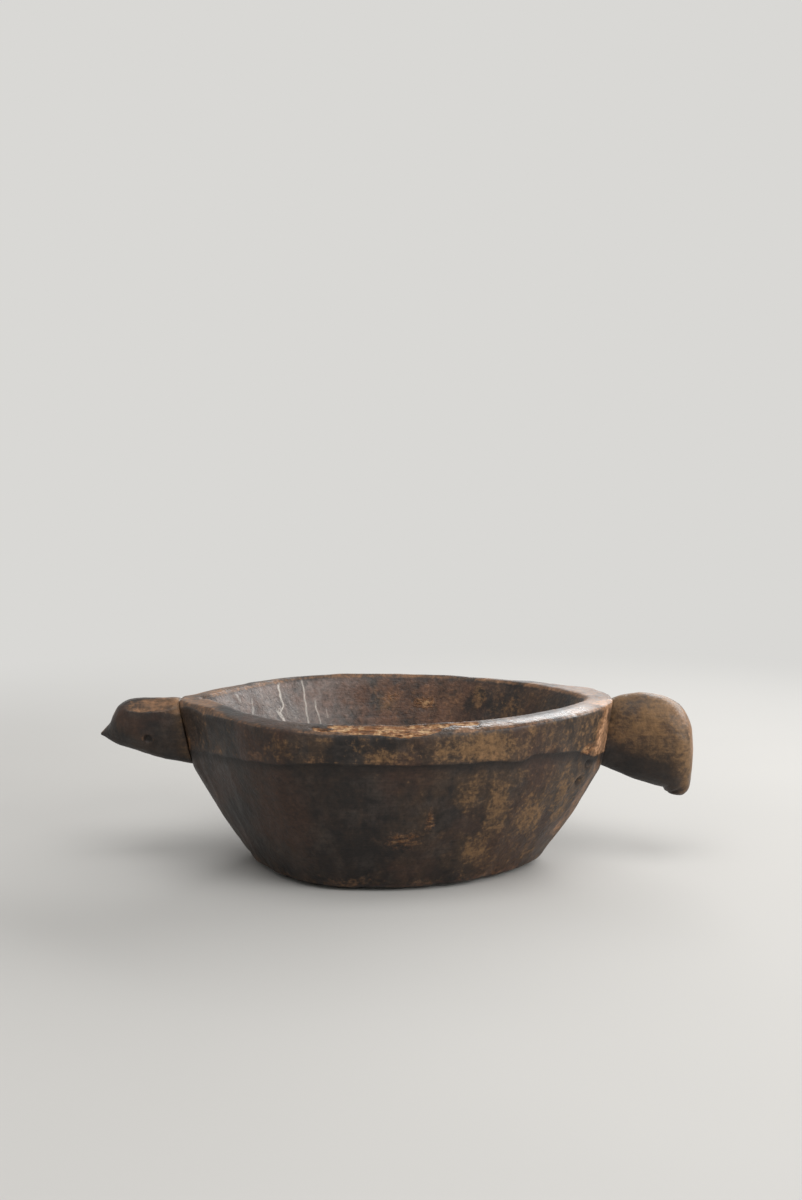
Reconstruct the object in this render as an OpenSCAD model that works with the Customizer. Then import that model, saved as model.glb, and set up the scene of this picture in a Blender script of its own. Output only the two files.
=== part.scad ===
// Feed scoop of dark carved hardwood. An almond-shaped bowl has a proud collar under its rim and a flat
// base, and a carved bird's head stands out of each end as a grip: the left one looks outwards with a
// flat crown and a pointed beak, and the right one bows down to hook over the fingers.
// Each head butts on a leaning shoulder of the bowl and is held there by two pegs in blind holes.
// X runs along the scoop, Y across it and Z up. The origin is the middle of the flat base.

/* [Bowl] */
// Length of the rim between the two shoulders
bowl_length = 297; // [260:1:330]
// Width of the bowl across the collar
bowl_width = 231; // [190:1:270]
// Height of the rim's crown above the base
bowl_height = 114; // [100:1:135]
// How far the widest place lies to the left of the middle
widest_offset = 16; // [0:1:30]
// Length of the flat base
base_length = 200; // [160:1:220]
// Width of the flat base
base_width = 160; // [120:1:180]
// Width of the base's blunt ends
base_end_width = 16; // [10:1:24]
// How far the lower wall bulges beyond a straight line
wall_bulge = 2; // [0:0.5:4]

/* [Hollow] */
// Thickness of the floor
floor_thickness = 18; // [10:1:26]
// Height over which the floor turns up into the wall
floor_round = 14; // [8:1:20]
// Thickness of the wall at the rim, along a side
rim_wall = 18; // [12:0.5:24]
// How much thicker the wall is at the floor than at the rim
wall_swell = 4; // [0:1:8]
// Thickness of the left end wall at the rim
left_end_wall = 16; // [12:0.5:22]
// Thickness of the right end wall at the rim
right_end_wall = 20; // [14:0.5:26]
// Width of the hollow's blunt ends
hollow_end_width = 5; // [2:0.5:10]

/* [Rim and collar] */
// How far the rim's worn outer edge lies below its crown at the middle of a side
rim_bevel = 3.5; // [1:0.5:6]
// Height of the collar at the middle of a side
collar_side_height = 20; // [12:1:30]
// Height of the collar at the ends, from the rim's crown
collar_end_height = 37; // [25:1:42]
// How far the collar stands proud of the wall below it
collar_step = 2; // [1:0.5:4]
// Height of the sloping face under the collar
collar_underside = 1.5; // [0.5:0.5:3]
// How much wider the bowl is at the collar's top than at its foot, on each side
collar_flare = 2; // [0:0.5:5]
// Size of the worn chamfer on the edges
edge_wear = 2.5; // [1:0.5:4]

/* [Shoulders] */
// Width of a shoulder at the rim
shoulder_width = 28; // [24:1:36]
// Depth of a shoulder below the rim's crown
shoulder_depth = 48; // [46:1:54]
// Lean of a shoulder from upright, in degrees
shoulder_lean = 11; // [8:1:16]
// How far a head's root is set in from the edges of its shoulder
shoulder_set = 0.8; // [0.4:0.1:2]

/* [Left head] */
// Reach of the left head beyond its shoulder at the rim, to the tip of its beak
left_reach = 56; // [44:1:70]
// Greatest thickness of the left head
left_width = 34; // [28:1:44]
// Depth of the crown below the rim
left_crown_drop = 0.6; // [0.4:0.1:2]
// How far the brow lies below the crown
left_brow_fall = 1.2; // [0.6:0.2:3]
// Depth of the beak's tip below the rim
left_beak_drop = 27; // [22:1:34]
// Height of the beak's blunt tip
left_tip_height = 1.6; // [1:0.2:3]
// Diameter of the drilled eye
eye_diameter = 5; // [3:0.5:7]
// Depth of the drilled eye
eye_depth = 1.2; // [0.5:0.1:2.5]
// Reach of the eye's middle beyond the shoulder
eye_reach = 20; // [16:1:26]

/* [Right head] */
// Reach of the right head beyond its shoulder at the rim
right_reach = 56; // [46:1:66]
// Greatest thickness of the right head
right_width = 44; // [34:1:54]
// Thickness of the neck where it meets the shoulder
right_neck_width = 24; // [20:1:26]
// Depth of the neck's top below the rim
right_neck_drop = 2; // [0.5:0.5:4]
// How far the crown rises above the rim
right_crown_rise = 2.2; // [0:0.2:5]
// Depth of the beak's tip below the rim
right_beak_drop = 68.5; // [66:0.5:80]
// Depth of the throat below the rim where it meets the beak
right_throat_drop = 62; // [56:0.5:64]

/* [Pegs] */
// Diameter of a peg
peg_diameter = 8; // [5:0.5:10]
// How deep a peg sits in the bowl
peg_in_bowl = 11; // [8:0.5:12]
// How deep a peg sits in a head
peg_in_head = 16; // [12:0.5:20]
// Depth of an upper peg below the rim
upper_peg_drop = 14; // [12:0.5:18]
// Depth of a lower peg below the rim
lower_peg_drop = 32; // [28:0.5:36]
// Gap left all round a peg and behind its ends
peg_gap = 0.1; // [0.05:0.05:0.2]

/* [Hidden] */

$fn = 48;

bowl_colour = "#3b2a20";
head_colour = "#4a3423";
peg_colour = "#7a5a38";

// Steps along one side of an outline from end to end, and between the ends of a wall.
side_steps = 36;
wall_steps = 4;
// Sides of a head's cross-section, and steps between its stations.
head_sides = 24;
head_steps = 3;

// A flank of an outline follows (1 - t^first)^second from its widest place to its end.
left_rim_flank = [3, 1.4];
right_rim_flank = [2.2, 0.75];
base_flank = [2.4, 0.85];
floor_flank = [2, 0.55];

// Share of the lower wall's height at which its ends reach the foot of the shoulders.
foot_share = 0.88;
// Powers of the heads' cross-sections: 1 is an ellipse, and less is squarer.
left_squareness = 0.82;
right_squareness = 0.88;

widest_x = -widest_offset;
floor_wall = rim_wall + wall_swell;
rim_edge_z = bowl_height - rim_bevel;
collar_foot_side_z = rim_edge_z - collar_side_height;
collar_foot_end_z = bowl_height - collar_end_height;
collar_foot_half_width = bowl_width / 2 - collar_flare;

function lerp(a, b, t) = a + (b - a) * t;
function signed_power(v, power) = sign(v) * pow(abs(v), power);

// Distance of a shoulder's face from the middle of the bowl at height z.
function shoulder_x(z) = bowl_length / 2 - (bowl_height - z) * tan(shoulder_lean);

// A ring is one outline of the bowl: the place of its left and right ends, its half-width at the widest
// place and at the ends, its height at the widest place and at the ends, and its two flanks.
LEFT_X = 0;
RIGHT_X = 1;
HALF_WIDTH = 2;
END_HALF_WIDTH = 3;
SIDE_Z = 4;
END_Z = 5;
LEFT_FLANK = 6;
RIGHT_FLANK = 8;

function ring_point(ring, angle, side) =
    let (
        c = cos(angle),
        t = abs(c),
        end_x = c < 0 ? ring[LEFT_X] : ring[RIGHT_X],
        flank = c < 0 ? LEFT_FLANK : RIGHT_FLANK,
        fullness = pow(1 - pow(t, ring[flank]), ring[flank + 1])
    )
    [
        lerp(widest_x, end_x, t),
        side * lerp(ring[END_HALF_WIDTH], ring[HALF_WIDTH], fullness),
        lerp(ring[SIDE_Z], ring[END_Z], t * t),
    ];

function ring_points(ring) = [
    for (i = [0 : side_steps]) ring_point(ring, 180 * i / side_steps, 1),
    for (i = [side_steps : -1 : 0]) ring_point(ring, 180 * i / side_steps, -1),
];

// The outside runs from the base up to the rim. Above the lower wall its rings end on the shoulders.
function base_ring(inset, z) =
    let (half_length = base_length / 2 - inset)
    concat(
        [-half_length, half_length, base_width / 2 - inset, base_end_width / 2, z, z],
        base_flank,
        base_flank
    );

function shouldered_ring(half_width, end_half_width, side_z, end_z) =
    concat(
        [-shoulder_x(end_z), shoulder_x(end_z), half_width, end_half_width, side_z, end_z],
        left_rim_flank,
        right_rim_flank
    );

base_edge_ring = base_ring(0, edge_wear);
crease_ring = shouldered_ring(
    collar_foot_half_width - collar_step,
    shoulder_width / 2 - collar_step,
    collar_foot_side_z,
    collar_foot_end_z
);
wall_top_ring = shouldered_ring(
    lerp(base_edge_ring[HALF_WIDTH], crease_ring[HALF_WIDTH], foot_share),
    shoulder_width / 2 - collar_step,
    lerp(edge_wear, collar_foot_side_z, foot_share),
    bowl_height - shoulder_depth
);
collar_foot_ring = shouldered_ring(
    collar_foot_half_width,
    shoulder_width / 2 - collar_step / 2,
    collar_foot_side_z + collar_underside,
    collar_foot_end_z + collar_underside
);
collar_top_ring = shouldered_ring(
    bowl_width / 2,
    shoulder_width / 2,
    rim_edge_z - edge_wear,
    bowl_height - edge_wear
);
rim_edge_ring = shouldered_ring(
    bowl_width / 2 - edge_wear,
    shoulder_width / 2 - edge_wear,
    rim_edge_z,
    bowl_height
);

// Rings between two others, which bulge outwards half-way.
function wall_rings(start, end) = [
    for (k = [1 : wall_steps - 1])
        let (
            t = k / wall_steps,
            bulge = wall_bulge * sin(180 * t)
        )
        lerp(start, end, t) + [-bulge, bulge, bulge, 0, 0, 0, 0, 0, 0, 0],
];

outside_rings = concat(
    [base_ring(edge_wear, 0), base_edge_ring],
    wall_rings(base_edge_ring, wall_top_ring),
    [wall_top_ring, crease_ring, collar_foot_ring, collar_top_ring, rim_edge_ring]
);

// The hollow runs from the crown of the rim down to the floor.
function mouth_ring(inset, z) =
    concat(
        [
            -bowl_length / 2 + left_end_wall + inset,
            bowl_length / 2 - right_end_wall - inset,
            bowl_width / 2 - rim_wall - inset,
            hollow_end_width / 2,
            z,
            z,
        ],
        left_rim_flank,
        right_rim_flank
    );

function floor_ring(inset, z) =
    let (half_length = base_length / 2 - floor_wall - inset)
    concat(
        [
            -half_length,
            half_length,
            base_width / 2 - floor_wall - inset,
            hollow_end_width / 2,
            floor_thickness + z,
            floor_thickness + z,
        ],
        floor_flank,
        floor_flank
    );

mouth_edge_ring = mouth_ring(0, bowl_height - edge_wear);
wall_foot_ring = floor_ring(0, floor_round);

hollow_rings = concat(
    [mouth_ring(-edge_wear, bowl_height), mouth_edge_ring],
    wall_rings(mouth_edge_ring, wall_foot_ring),
    [wall_foot_ring, floor_ring(0.3 * floor_round, 0.3 * floor_round), floor_ring(floor_round, 0)]
);

// A closed solid through a row of rings that all have the same number of points.
module loft(rings) {
    count = len(rings[0]);
    last = len(rings) - 1;
    sides = [
        for (r = [0 : last - 1], i = [0 : count - 1])
            let (
                a = r * count + i,
                b = r * count + (i + 1) % count
            )
            each [[a, a + count, b], [b, a + count, b + count]],
    ];
    first_cap = [for (i = [0 : count - 1]) i];
    last_cap = [for (i = [count - 1 : -1 : 0]) last * count + i];
    polyhedron(
        points = [for (ring = rings) each ring],
        faces = concat(sides, [first_cap, last_cap]),
        convexity = 6
    );
}

// Pegs lie along X across the face of the right shoulder, and at_left() mirrors them to the left one.
module peg(drop, gap) {
    z = bowl_height - drop;
    translate([shoulder_x(z) - peg_in_bowl - gap, 0, z])
        rotate([0, 90, 0])
            cylinder(d = peg_diameter + 2 * gap, h = peg_in_bowl + peg_in_head + 2 * gap);
}

module peg_holes() {
    peg(upper_peg_drop, peg_gap);
    peg(lower_peg_drop, peg_gap);
}

module at_left() {
    mirror([1, 0, 0]) children();
}

module bowl() {
    color(bowl_colour)
        difference() {
            loft([for (ring = concat(outside_rings, hollow_rings)) ring_points(ring)]);
            peg_holes();
            at_left() peg_holes();
        }
}

// A head is a row of stations. Each has a point on the back and one on the throat, as reach beyond the
// shoulder and depth below the rim, and the half-width between them. The first lies on the shoulder.
function root_station(top, foot, half_width) =
    [-top * tan(shoulder_lean), top, -foot * tan(shoulder_lean), foot, half_width];

// Catmull-Rom curve through the stations, with the end ones repeated.
function station(stations, i) = stations[max(0, min(len(stations) - 1, i))];

function between_stations(stations, i, t) =
    let (
        a = station(stations, i - 1),
        b = station(stations, i),
        c = station(stations, i + 1),
        d = station(stations, i + 2)
    )
    b + 0.5 * t * (c - a + t * (2 * a - 5 * b + 4 * c - d + t * (3 * (b - c) + d - a)));

function smoothed(stations) = [
    stations[0],
    for (i = [0 : len(stations) - 2], k = [1 : head_steps])
        between_stations(stations, i, k / head_steps),
];

// A superellipse across the head, between the back and the throat of one station.
function head_ring(station, squareness) =
    let (
        back = [station[0], station[1]],
        throat = [station[2], station[3]]
    )
    [
        for (i = [0 : head_sides - 1])
            let (
                angle = 360 * i / head_sides,
                side_view = lerp(throat, back, 0.5 + 0.5 * signed_power(sin(angle), squareness))
            )
            [
                bowl_length / 2 + side_view[0],
                -station[4] * signed_power(cos(angle), squareness),
                bowl_height - side_view[1],
            ],
    ];

module head(stations, squareness) {
    loft([for (station = smoothed(stations)) head_ring(station, squareness)]);
}

// The left head has a flat crown, a steep face and a beak at its lower front. Its reaches and widths are
// shares of its own, and its throat climbs from the root to the beak's tip.
left_root_depth = shoulder_depth - shoulder_set;

function left_station(back_reach, back_drop, throat_reach, throat_share, width_share) =
    [
        back_reach * left_reach,
        back_drop,
        throat_reach * left_reach,
        lerp(left_beak_drop, left_root_depth, throat_share),
        width_share * left_width / 2,
    ];

left_stations = [
    root_station(left_crown_drop, left_root_depth, shoulder_width / 2 - shoulder_set),
    left_station(0.16, left_crown_drop, 0.14, 0.86, 0.9),
    left_station(0.4, left_crown_drop, 0.38, 0.7, 1),
    left_station(0.6, left_crown_drop + left_brow_fall, 0.58, 0.5, 0.94),
    left_station(0.74, 0.2 * left_beak_drop, 0.74, 0.36, 0.76),
    left_station(0.82, 0.43 * left_beak_drop, 0.85, 0.22, 0.52),
    left_station(0.87, 0.67 * left_beak_drop, 0.93, 0.1, 0.3),
    left_station(0.99, left_beak_drop - left_tip_height, 0.985, 0.03, 0.09),
];

// The eye is drilled square to the head's side, at the height of the beak's tip.
module eye(side) {
    x = bowl_length / 2 + eye_reach;
    y = side * (left_width / 2 - eye_depth);
    translate([x, y, bowl_height - left_beak_drop])
        rotate([-90 * side, 0, 0])
            cylinder(d = eye_diameter, h = left_width);
}

module left_head() {
    color(head_colour)
        at_left()
            difference() {
                head(left_stations, left_squareness);
                peg_holes();
                eye(1);
                eye(-1);
            }
}

// The right head has a round crown that turns down into a short hooked beak. Its reaches and widths are
// shares of its own, its back falls from the crown to the beak's tip, and its throat has its own depths.
function right_station(back_reach, back_share, throat_reach, throat_drop, width_share) =
    [
        back_reach * right_reach,
        lerp(-right_crown_rise, right_beak_drop, back_share),
        throat_reach * right_reach,
        throat_drop,
        width_share * right_width / 2,
    ];

// Depth at a share of the way from the throat's end down the inside of the beak.
function beak_drop(share) = lerp(right_throat_drop, right_beak_drop, share);

right_stations = [
    root_station(right_neck_drop, shoulder_depth - shoulder_set, right_neck_width / 2),
    right_station(0.16, 0.02, 0.07, 0.85 * right_throat_drop, 0.68),
    right_station(0.39, 0, 0.3, 0.935 * right_throat_drop, 0.83),
    right_station(0.64, 0.03, 0.5, 0.985 * right_throat_drop, 0.95),
    right_station(0.84, 0.13, 0.61, beak_drop(0.1), 1),
    right_station(0.96, 0.285, 0.65, beak_drop(0.2), 0.98),
    right_station(1, 0.51, 0.66, beak_drop(0.35), 0.89),
    right_station(0.99, 0.74, 0.675, beak_drop(0.6), 0.77),
    right_station(0.97, 0.9, 0.705, beak_drop(0.85), 0.63),
    right_station(0.91, 0.975, 0.78, beak_drop(0.97), 0.42),
];

module right_head() {
    color(head_colour)
        difference() {
            head(right_stations, right_squareness);
            peg_holes();
        }
}

module left_upper_peg() {
    color(peg_colour) at_left() peg(upper_peg_drop, 0);
}

module left_lower_peg() {
    color(peg_colour) at_left() peg(lower_peg_drop, 0);
}

module right_upper_peg() {
    color(peg_colour) peg(upper_peg_drop, 0);
}

module right_lower_peg() {
    color(peg_colour) peg(lower_peg_drop, 0);
}

bowl();
left_head();
right_head();
left_upper_peg();
left_lower_peg();
right_upper_peg();
right_lower_peg();
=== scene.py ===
"""Looks of the feed scoop: carved skins for the bowl and its two bird's heads, and their old dark wood.

Shapes are worked out in millimetres in the part's own frame, with X along the scoop and Z up, and turn
into metres when a skin is made.
"""
import math

import bpy
import numpy as np
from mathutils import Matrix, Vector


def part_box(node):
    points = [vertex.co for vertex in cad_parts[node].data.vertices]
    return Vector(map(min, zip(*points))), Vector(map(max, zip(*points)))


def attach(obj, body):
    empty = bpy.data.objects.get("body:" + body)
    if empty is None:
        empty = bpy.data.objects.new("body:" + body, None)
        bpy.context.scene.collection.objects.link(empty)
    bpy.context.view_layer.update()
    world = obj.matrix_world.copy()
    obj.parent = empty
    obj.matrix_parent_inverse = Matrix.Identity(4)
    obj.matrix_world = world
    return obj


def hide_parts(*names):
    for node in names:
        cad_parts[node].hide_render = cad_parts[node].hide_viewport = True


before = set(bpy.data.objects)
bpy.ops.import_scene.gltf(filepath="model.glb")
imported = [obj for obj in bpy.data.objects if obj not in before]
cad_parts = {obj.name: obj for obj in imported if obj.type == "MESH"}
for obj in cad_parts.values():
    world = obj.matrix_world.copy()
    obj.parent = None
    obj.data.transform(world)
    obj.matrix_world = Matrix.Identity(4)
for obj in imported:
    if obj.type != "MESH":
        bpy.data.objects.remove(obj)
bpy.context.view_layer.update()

MM = 0.001

# Overall sizes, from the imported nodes
half_length, half_width, rim_z = np.array(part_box("bowl")[1]) / MM
left_reach = -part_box("left_head")[0][0] / MM - half_length
right_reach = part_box("right_head")[1][0] / MM - half_length

# Sizes of the bowl
widest_x = -16.0
base_half_length = 100.0
base_half_width = 80.0
base_end = 8.0
wall_bulge = 2.0
floor_z = 18.0
floor_round = 14.0
rim_wall = 18.0
floor_wall = 22.0
left_end_wall = 16.0
right_end_wall = 20.0
hollow_end = 2.5
rim_bevel = 3.5
collar_height = 20.0
collar_end_height = 37.0
collar_step = 2.0
collar_underside = 1.5
collar_flare = 2.0
edge_wear = 2.5
shoulder_half_width = 14.0
shoulder_depth = 48.0
shoulder_slope = math.tan(math.radians(11))
shoulder_set = 0.8
foot_share = 0.88

# Flanks of the outlines, from the widest place to an end: (1 - t^first)^second
LEFT_FLANK = (3.0, 1.4)
RIGHT_FLANK = (2.2, 0.75)
BASE_FLANK = (2.4, 0.85)
FLOOR_FLANK = (2.0, 0.55)


# Sums on arrays of points

def lerp(a, b, t):
    return a + (b - a) * t


def ramp(v, low, high):
    """0 at low, 1 at high, and a smooth change between them."""
    t = np.clip((v - low) / (high - low), 0, 1)
    return t * t * (3 - 2 * t)


def hump(v, middle, reach):
    """1 at the middle and 0 beyond the reach on both sides."""
    return ramp(np.abs(v - middle), reach, 0)


def span(v, start, end, fade):
    """1 from start to end, fading to 0 on both sides."""
    return ramp(v, start - fade, start) * ramp(v, end + fade, end)


def lot(cell, seed):
    """A fixed number from 0 to 1 for each whole cell."""
    h = np.full(cell.shape[:-1], seed * 7919 + 17, np.uint64)
    for axis, prime in zip(range(cell.shape[-1]), (374761393, 668265263, 2147483629)):
        h = h + cell[..., axis].astype(np.int64).astype(np.uint64) * np.uint64(prime)
        h = (h ^ (h >> np.uint64(13))) * np.uint64(1274126177)
        h = h & np.uint64(0xFFFFFFFF)
    h = h ^ (h >> np.uint64(16))
    return (h & np.uint64(0xFFFF)) / 65535.0


def unevenness(points, size, seed):
    """Smooth bumps from -1 to 1, about as large as size, which is one length or one for each axis."""
    p = points / np.asarray(size, float)
    cell = np.floor(p)
    f = p - cell
    f = f * f * (3 - 2 * f)
    total = 0
    for corner in np.ndindex(*(2,) * p.shape[-1]):
        corner = np.array(corner)
        total = total + np.prod(np.where(corner, f, 1 - f), axis=-1) * lot(cell + corner, seed)
    return 2 * total - 1


def rough(points, size, seed, layers=3):
    """Bumps with finer bumps on them."""
    size = np.asarray(size, float)
    return sum(unevenness(points, size / 2**k, seed + k) / 2**k for k in range(layers))


def tool_marks(places, size, seed):
    """Hollows of a curved blade: 1 in the middle of a mark, and 0 on the ridges where marks meet."""
    p = places / np.asarray(size, float)
    cell = np.floor(p)
    nearest = np.full(p.shape[:-1], 9.0)
    for step in np.ndindex(*(3,) * p.shape[-1]):
        mark = cell + np.array(step) - 1
        away = 0
        for axis in range(p.shape[-1]):
            middle = mark[..., axis] + 0.5 + 0.7 * (lot(mark, seed + axis) - 0.5)
            away = away + (p[..., axis] - middle) ** 2
        nearest = np.minimum(nearest, away)
    return 1 - np.clip(nearest / 0.6, 0, 1)


def flutes(place, edges):
    """Hollow cuts between edges: 1 in the middle of a cut and 0 on its edges."""
    edges = np.asarray(edges, float)
    k = np.clip(np.searchsorted(edges, place) - 1, 0, len(edges) - 2)
    f = np.clip((place - edges[k]) / (edges[k + 1] - edges[k]), 0, 1)
    return 1 - (2 * f - 1) ** 2


def outward(skin):
    """Outward direction at each point of a skin."""
    round_it = np.roll(skin, -1, 1) - np.roll(skin, 1, 1)
    normal = np.cross(round_it, np.gradient(skin, axis=0))
    return normal / np.maximum(np.linalg.norm(normal, axis=-1, keepdims=True), 1e-9)


def soften(skin, along, around, rounds):
    """Rounds the edges of a skin. along and around are the strengths from 0 to 1 at each point."""
    for _ in range(rounds):
        skin[1:-1] += 0.25 * along[1:-1, :, None] * (skin[2:] - 2 * skin[1:-1] + skin[:-2])
        skin += 0.25 * around[:, :, None] * (np.roll(skin, 1, 1) - 2 * skin + np.roll(skin, -1, 1))
    return skin


def pare(skin, normal, through, softness):
    """Cuts a flat facet with a knife: nothing is left beyond the plane, and its edges are soft."""
    normal = np.array(normal, float)
    normal /= np.linalg.norm(normal)
    proud = (skin - np.array(through, float)) @ normal
    cut = 0.5 * (proud + np.sqrt(proud**2 + softness**2))
    return skin - cut[..., None] * normal


def patch(skin, middle, reach):
    """1 in the middle of an oval patch and 0 beyond its reach, which is a length for each axis."""
    away = np.linalg.norm((skin - np.array(middle, float)) / np.array(reach, float), axis=-1)
    return ramp(away, 1, 0.2)


def patches(skin, places):
    """Several patches together, each with its own strength."""
    return sum(strength * patch(skin, middle, reach) for middle, reach, strength in places)


def make_skin(name, skin, marks):
    """A closed mesh over rows of points, with a fan on the first and last row and a value for each mark."""
    rows, count = skin.shape[:2]
    row, place = np.meshgrid(np.arange(rows - 1), np.arange(count), indexing="ij")
    here, beside = row * count + place, row * count + (place + 1) % count
    quads = np.stack([here, beside, beside + count, here + count], axis=-1).reshape(-1, 4)
    i = np.arange(count)
    last = (rows - 1) * count
    middles = rows * count, rows * count + 1
    first_fan = np.stack([(i + 1) % count, i, np.full(count, middles[0])], axis=-1)
    last_fan = np.stack([last + i, last + (i + 1) % count, np.full(count, middles[1])], axis=-1)
    points = np.vstack([skin.reshape(-1, 3), skin[0].mean(0), skin[-1].mean(0)]) * MM
    mesh = bpy.data.meshes.new(name)
    mesh.from_pydata(points.tolist(), [], quads.tolist() + first_fan.tolist() + last_fan.tolist())
    mesh.polygons.foreach_set("use_smooth", np.ones(len(mesh.polygons), bool))
    for mark, values in marks.items():
        values = np.append(values.reshape(-1), [values[0].mean(), values[-1].mean()])
        mesh.attributes.new(mark, "FLOAT", "POINT").data.foreach_set("value", values.astype(np.float32))
    mesh.update()
    piece = bpy.data.objects.new(name, mesh)
    bpy.context.scene.collection.objects.link(piece)
    return piece


# Bowl

def ring(left_x, right_x, half, end_half, side_z, end_z, left_flank, right_flank):
    """One outline of the bowl: its ends, half-widths at the widest place and the ends, heights and flanks."""
    return np.array([left_x, right_x, half, end_half, side_z, end_z, *left_flank, *right_flank], float)


def shoulder_x(z):
    return half_length - (rim_z - z) * shoulder_slope


def base_ring(inset, z):
    reach = base_half_length - inset
    return ring(-reach, reach, base_half_width - inset, base_end, z, z, BASE_FLANK, BASE_FLANK)


def shouldered_ring(half, end_half, side_z, end_z):
    reach = shoulder_x(end_z)
    return ring(-reach, reach, half, end_half, side_z, end_z, LEFT_FLANK, RIGHT_FLANK)


def mouth_ring(inset, z):
    left_x = -half_length + left_end_wall + inset
    right_x = half_length - right_end_wall - inset
    half = half_width - rim_wall - inset
    return ring(left_x, right_x, half, hollow_end, z, z, LEFT_FLANK, RIGHT_FLANK)


def floor_ring(inset, z):
    reach = base_half_length - floor_wall - inset
    half = base_half_width - floor_wall - inset
    return ring(-reach, reach, half, hollow_end, floor_z + z, floor_z + z, FLOOR_FLANK, FLOOR_FLANK)


def shrunk(outline, share):
    """The same outline drawn in towards the widest place, for the middle of the base or the floor."""
    small = outline.copy()
    small[:2] = widest_x + (outline[:2] - widest_x) * share
    small[2:4] *= share
    return small


def wall_ring(start, end, t):
    bulge = wall_bulge * math.sin(math.pi * t)
    return lerp(start, end, t) + np.array([-bulge, bulge, bulge, 0, 0, 0, 0, 0, 0, 0])


def bowl_rings():
    """The bowl's outlines in order, from the middle of the base over the rim to the middle of the floor."""
    rim_edge_z = rim_z - rim_bevel
    foot_side_z = rim_edge_z - collar_height
    foot_end_z = rim_z - collar_end_height
    foot_half = half_width - collar_flare
    crease_end = shoulder_half_width - collar_step
    base_edge = base_ring(0, edge_wear)
    crease = shouldered_ring(foot_half - collar_step, crease_end, foot_side_z, foot_end_z)
    wall_top = shouldered_ring(
        lerp(base_edge[2], crease[2], foot_share),
        crease_end,
        lerp(edge_wear, foot_side_z, foot_share),
        rim_z - shoulder_depth,
    )
    collar_foot = shouldered_ring(
        foot_half,
        shoulder_half_width - collar_step / 2,
        foot_side_z + collar_underside,
        foot_end_z + collar_underside,
    )
    collar_top = shouldered_ring(half_width, shoulder_half_width, rim_edge_z - edge_wear, rim_z - edge_wear)
    rim_edge = shouldered_ring(half_width - edge_wear, shoulder_half_width - edge_wear, rim_edge_z, rim_z)
    mouth_edge = mouth_ring(0, rim_z - edge_wear)
    wall_foot = floor_ring(0, floor_round)
    return [
        shrunk(base_ring(edge_wear, 0), 0.03),
        base_ring(edge_wear, 0),
        base_edge,
        wall_ring(base_edge, wall_top, 0.25),
        wall_ring(base_edge, wall_top, 0.5),
        wall_ring(base_edge, wall_top, 0.75),
        wall_top,
        crease,
        collar_foot,
        collar_top,
        rim_edge,
        mouth_ring(-edge_wear, rim_z),
        mouth_edge,
        wall_ring(mouth_edge, wall_foot, 0.25),
        wall_ring(mouth_edge, wall_foot, 0.5),
        wall_ring(mouth_edge, wall_foot, 0.75),
        wall_foot,
        floor_ring(0.3 * floor_round, 0.3 * floor_round),
        floor_ring(floor_round, 0),
        shrunk(floor_ring(floor_round, 0), 0.03),
    ]


# Places of the outlines in that list, and the number of rows of points from each to the next
BASE_FLAT, BASE_EDGE, WALL_TOP, CREASE, COLLAR_FOOT, COLLAR_TOP = 1, 2, 6, 7, 8, 9
RIM_EDGE, CROWN, MOUTH_EDGE, WALL_FOOT, FLOOR_EDGE, FLOOR_MIDDLE = 10, 11, 12, 16, 18, 19
ROWS = (9, 4, 10, 10, 10, 10, 8, 5, 17, 6, 18, 4, 10, 10, 10, 11, 5, 5, 9)
# Points along the far side, across an end and along the near side, which has more at the broken front
FAR_PLACES, END_PLACES, NEAR_PLACES = 210, 19, 312


def side_points(rings, share, side):
    """Points along one side of every outline. share runs from 1 at the right end to -1 at the left end."""
    t = np.abs(share)[None, :]
    leftward = (share < 0)[None, :]
    end_x = np.where(leftward, rings[:, 0:1], rings[:, 1:2])
    first = np.where(leftward, rings[:, 6:7], rings[:, 8:9])
    second = np.where(leftward, rings[:, 7:8], rings[:, 9:10])
    fullness = np.clip(1 - t**first, 0, 1) ** second
    x = lerp(widest_x, end_x, t)
    y = side * lerp(rings[:, 3:4], rings[:, 2:3], fullness)
    z = lerp(rings[:, 4:5], rings[:, 5:6], t**2)
    return np.stack([x, y, z], axis=-1)


def end_points(rings, end, across):
    """Points across one blunt end of every outline."""
    x, y, z = (np.outer(rings[:, k], np.ones(len(across))) for k in (end, 3, 5))
    return np.stack([x, y * across, z], axis=-1)


def even_shares(outline, count, closeness):
    """Places along a side of an outline, closer together where closeness of their x is over 1."""
    fine = np.cos(np.linspace(0, math.pi, 6001))
    points = side_points(outline[None], fine, 1)[0]
    steps = np.linalg.norm(np.diff(points, axis=0), axis=1) * closeness(points[1:, 0])
    way = np.append(0, np.cumsum(steps))
    return np.interp(np.linspace(0, way[-1], count), way, fine)


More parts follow.
